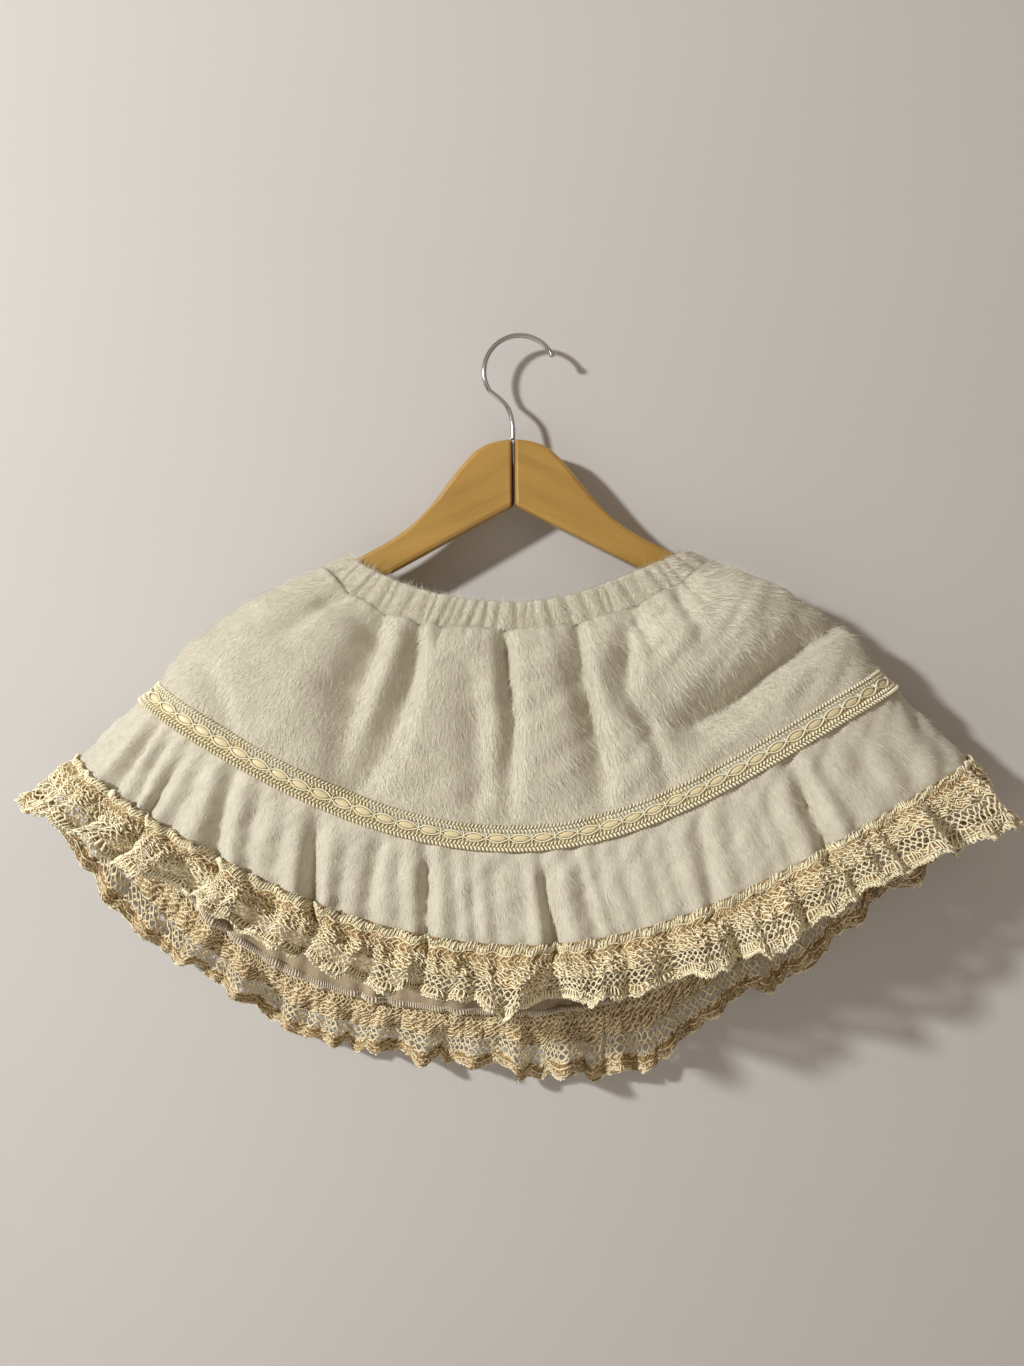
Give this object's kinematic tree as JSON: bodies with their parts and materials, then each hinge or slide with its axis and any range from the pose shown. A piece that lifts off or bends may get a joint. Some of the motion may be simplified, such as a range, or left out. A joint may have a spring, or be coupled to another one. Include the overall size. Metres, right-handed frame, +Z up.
{
  "type": "lace mini skirt on a wooden hanger",
  "caption": "Tiered mini skirt of white brushed fleece with an elastic waist, cream braid and gathered lace hem, hanging open on a flat wooden hanger with a wire hook.",
  "frame": {"origin": "the inner top of the hook's crook, where a nail or a rail carries the hanger", "axes": "+X along the hanger to the viewer's right, the skirt's front faces -Y, +Z up"},
  "size_m": [0.7093, 0.1185, 0.5564],
  "materials": {
    "fleece": "long brushed pile",
    "cotton": "matt cotton thread",
    "wood": "oiled",
    "chrome": "polished"
  },
  "bodies": {
    "root": {"waistband": "fleece", "upper_front": "fleece", "upper_back": "fleece", "ruffle_front": "fleece", "ruffle_back": "fleece", "trim_front": "cotton", "trim_back": "cotton", "lace_front": "cotton", "lace_back": "cotton", "hanger_arm_left": "wood", "hanger_arm_right": "wood", "hook": "chrome"}
  },
  "joints": []
}
